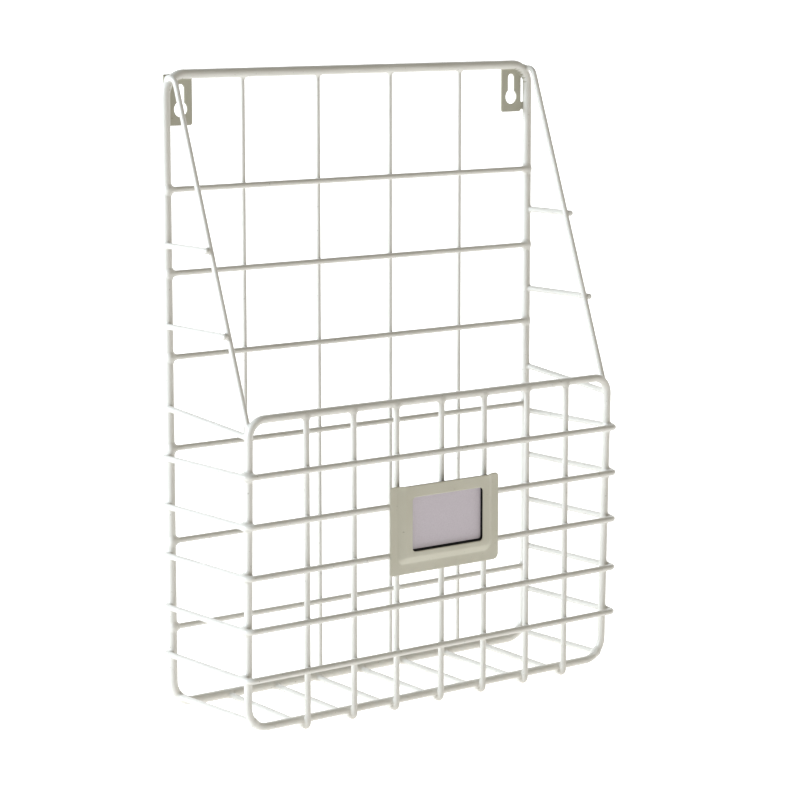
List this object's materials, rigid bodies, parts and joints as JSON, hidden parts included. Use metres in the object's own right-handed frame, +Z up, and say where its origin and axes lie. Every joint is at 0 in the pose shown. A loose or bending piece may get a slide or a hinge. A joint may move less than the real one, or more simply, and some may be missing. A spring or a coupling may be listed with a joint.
{
  "type": "hanging file rack",
  "caption": "Wall-hung wire rack for files and magazines: open wire back, shallow wire basket, diagonal side braces, keyhole hanger tabs and a label holder on the front.",
  "frame": {"origin": "centre of the rack's footprint, on the plane that it stands on", "axes": "+Z up, the front faces -Y and the wall side faces +Y, +X to the right seen from the front"},
  "size_m": [0.3014, 0.097, 0.4025],
  "materials": {
    "coated_wire": "warm white powder coating, semi-gloss",
    "coated_sheet": "cream powder coating, semi-gloss",
    "backing_board": "matt black board",
    "card": "matt lilac-grey card"
  },
  "bodies": {
    "rack": {"back_frame": "coated_wire", "front_frame": "coated_wire", "back_cross_wire_1": "coated_wire", "back_cross_wire_2": "coated_wire", "back_cross_wire_3": "coated_wire", "back_cross_wire_4": "coated_wire", "back_cross_wire_5": "coated_wire", "back_cross_wire_6": "coated_wire", "back_upright_wire_1": "coated_wire", "back_upright_wire_2": "coated_wire", "back_upright_wire_3": "coated_wire", "back_upright_wire_4": "coated_wire", "basket_hoop_1": "coated_wire", "basket_hoop_2": "coated_wire", "basket_hoop_3": "coated_wire", "basket_hoop_4": "coated_wire", "basket_hoop_5": "coated_wire", "basket_wire_1": "coated_wire", "basket_wire_2": "coated_wire", "basket_wire_3": "coated_wire", "basket_wire_4": "coated_wire", "basket_wire_5": "coated_wire", "basket_wire_6": "coated_wire", "basket_wire_7": "coated_wire", "side_wire_left_1": "coated_wire", "side_wire_left_2": "coated_wire", "side_wire_left_3": "coated_wire", "side_wire_right_1": "coated_wire", "side_wire_right_2": "coated_wire", "side_wire_right_3": "coated_wire", "bottom_side_wire_left": "coated_wire", "bottom_side_wire_right": "coated_wire", "diagonal_brace_left": "coated_wire", "diagonal_brace_right": "coated_wire", "hanger_tab_left": "coated_sheet", "hanger_tab_right": "coated_sheet", "label_holder": "coated_sheet"},
    "label": {"label_backing": "backing_board", "label_card": "card"}
  },
  "joints": [
    {"name": "label_slide", "type": "slide", "parent": "rack", "child": "label", "axis": [0, 0, 1], "range_m": [0, 0.047]}
  ]
}
